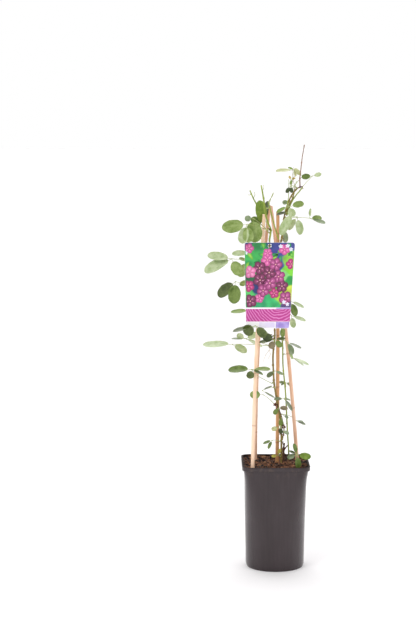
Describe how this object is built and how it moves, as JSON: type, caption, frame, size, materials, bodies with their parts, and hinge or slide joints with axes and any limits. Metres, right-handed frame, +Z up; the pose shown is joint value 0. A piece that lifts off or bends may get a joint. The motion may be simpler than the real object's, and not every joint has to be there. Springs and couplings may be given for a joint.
{
  "type": "potted chocolate vine",
  "caption": "Young akebia climbing a wigwam of bamboo canes in a tall square-rimmed nursery pot, with a picture label hanging in front.",
  "frame": {"origin": "centre of the pot's flat underside", "axes": "+Z up, -Y the front where the picture label hangs, +X to the right as seen from the front"},
  "size_m": [0.2476, 0.1735, 0.8542],
  "materials": {
    "pot_plastic": "satin dark charcoal-brown recycled plastic",
    "soil": "moist dark brown peat compost",
    "bamboo": "smooth pale tan bamboo cane",
    "label_card": null,
    "ring_plastic": "thin dark green plastic ring",
    "bark": "brown woody vine bark",
    "green_shoot": "smooth green shoot",
    "leaf": "thin matte green leaf"
  },
  "bodies": {
    "root": {"pot": "pot_plastic", "potting_soil": "soil", "cane_front_left": "bamboo", "cane_back_left": "bamboo", "cane_middle": "bamboo", "cane_back_right": "bamboo", "picture_label": "label_card", "label_ring": "ring_plastic", "stem_main": "bark", "stem_green": "green_shoot", "stem_low": "green_shoot", "stem_dead_stub": "bark", "bough_left": "green_shoot", "bough_outer": "green_shoot", "bough_right": "bark", "bough_leader": "bark", "foliage_back_high": "leaf", "foliage_back_lower": "leaf", "foliage_back_mid": "leaf", "foliage_back_upper": "leaf", "foliage_crown_dark": "leaf", "foliage_crown_left": "leaf", "foliage_crown_right": "leaf", "foliage_foot_left": "leaf", "foliage_foot_right": "leaf", "foliage_foot_yellow": "leaf", "foliage_fork": "leaf", "foliage_green_high": "leaf", "foliage_green_mid": "leaf", "foliage_inner_high": "leaf", "foliage_inner_low": "leaf", "foliage_inner_mid": "leaf", "foliage_label_foot": "leaf", "foliage_label_left_high": "leaf", "foliage_label_left_low": "leaf", "foliage_label_left_mid": "leaf", "foliage_label_right": "leaf", "foliage_left_dark": "leaf", "foliage_left_forked": "leaf", "foliage_left_outer": "leaf", "foliage_left_pale": "leaf", "foliage_left_round": "leaf", "foliage_left_tip": "leaf", "foliage_left_upright": "leaf", "foliage_right_behind": "leaf", "foliage_right_front": "leaf", "foliage_right_hanging": "leaf", "foliage_right_inner": "leaf", "foliage_right_narrow": "leaf", "foliage_right_side": "leaf", "foliage_right_thin": "leaf"}
  },
  "joints": []
}
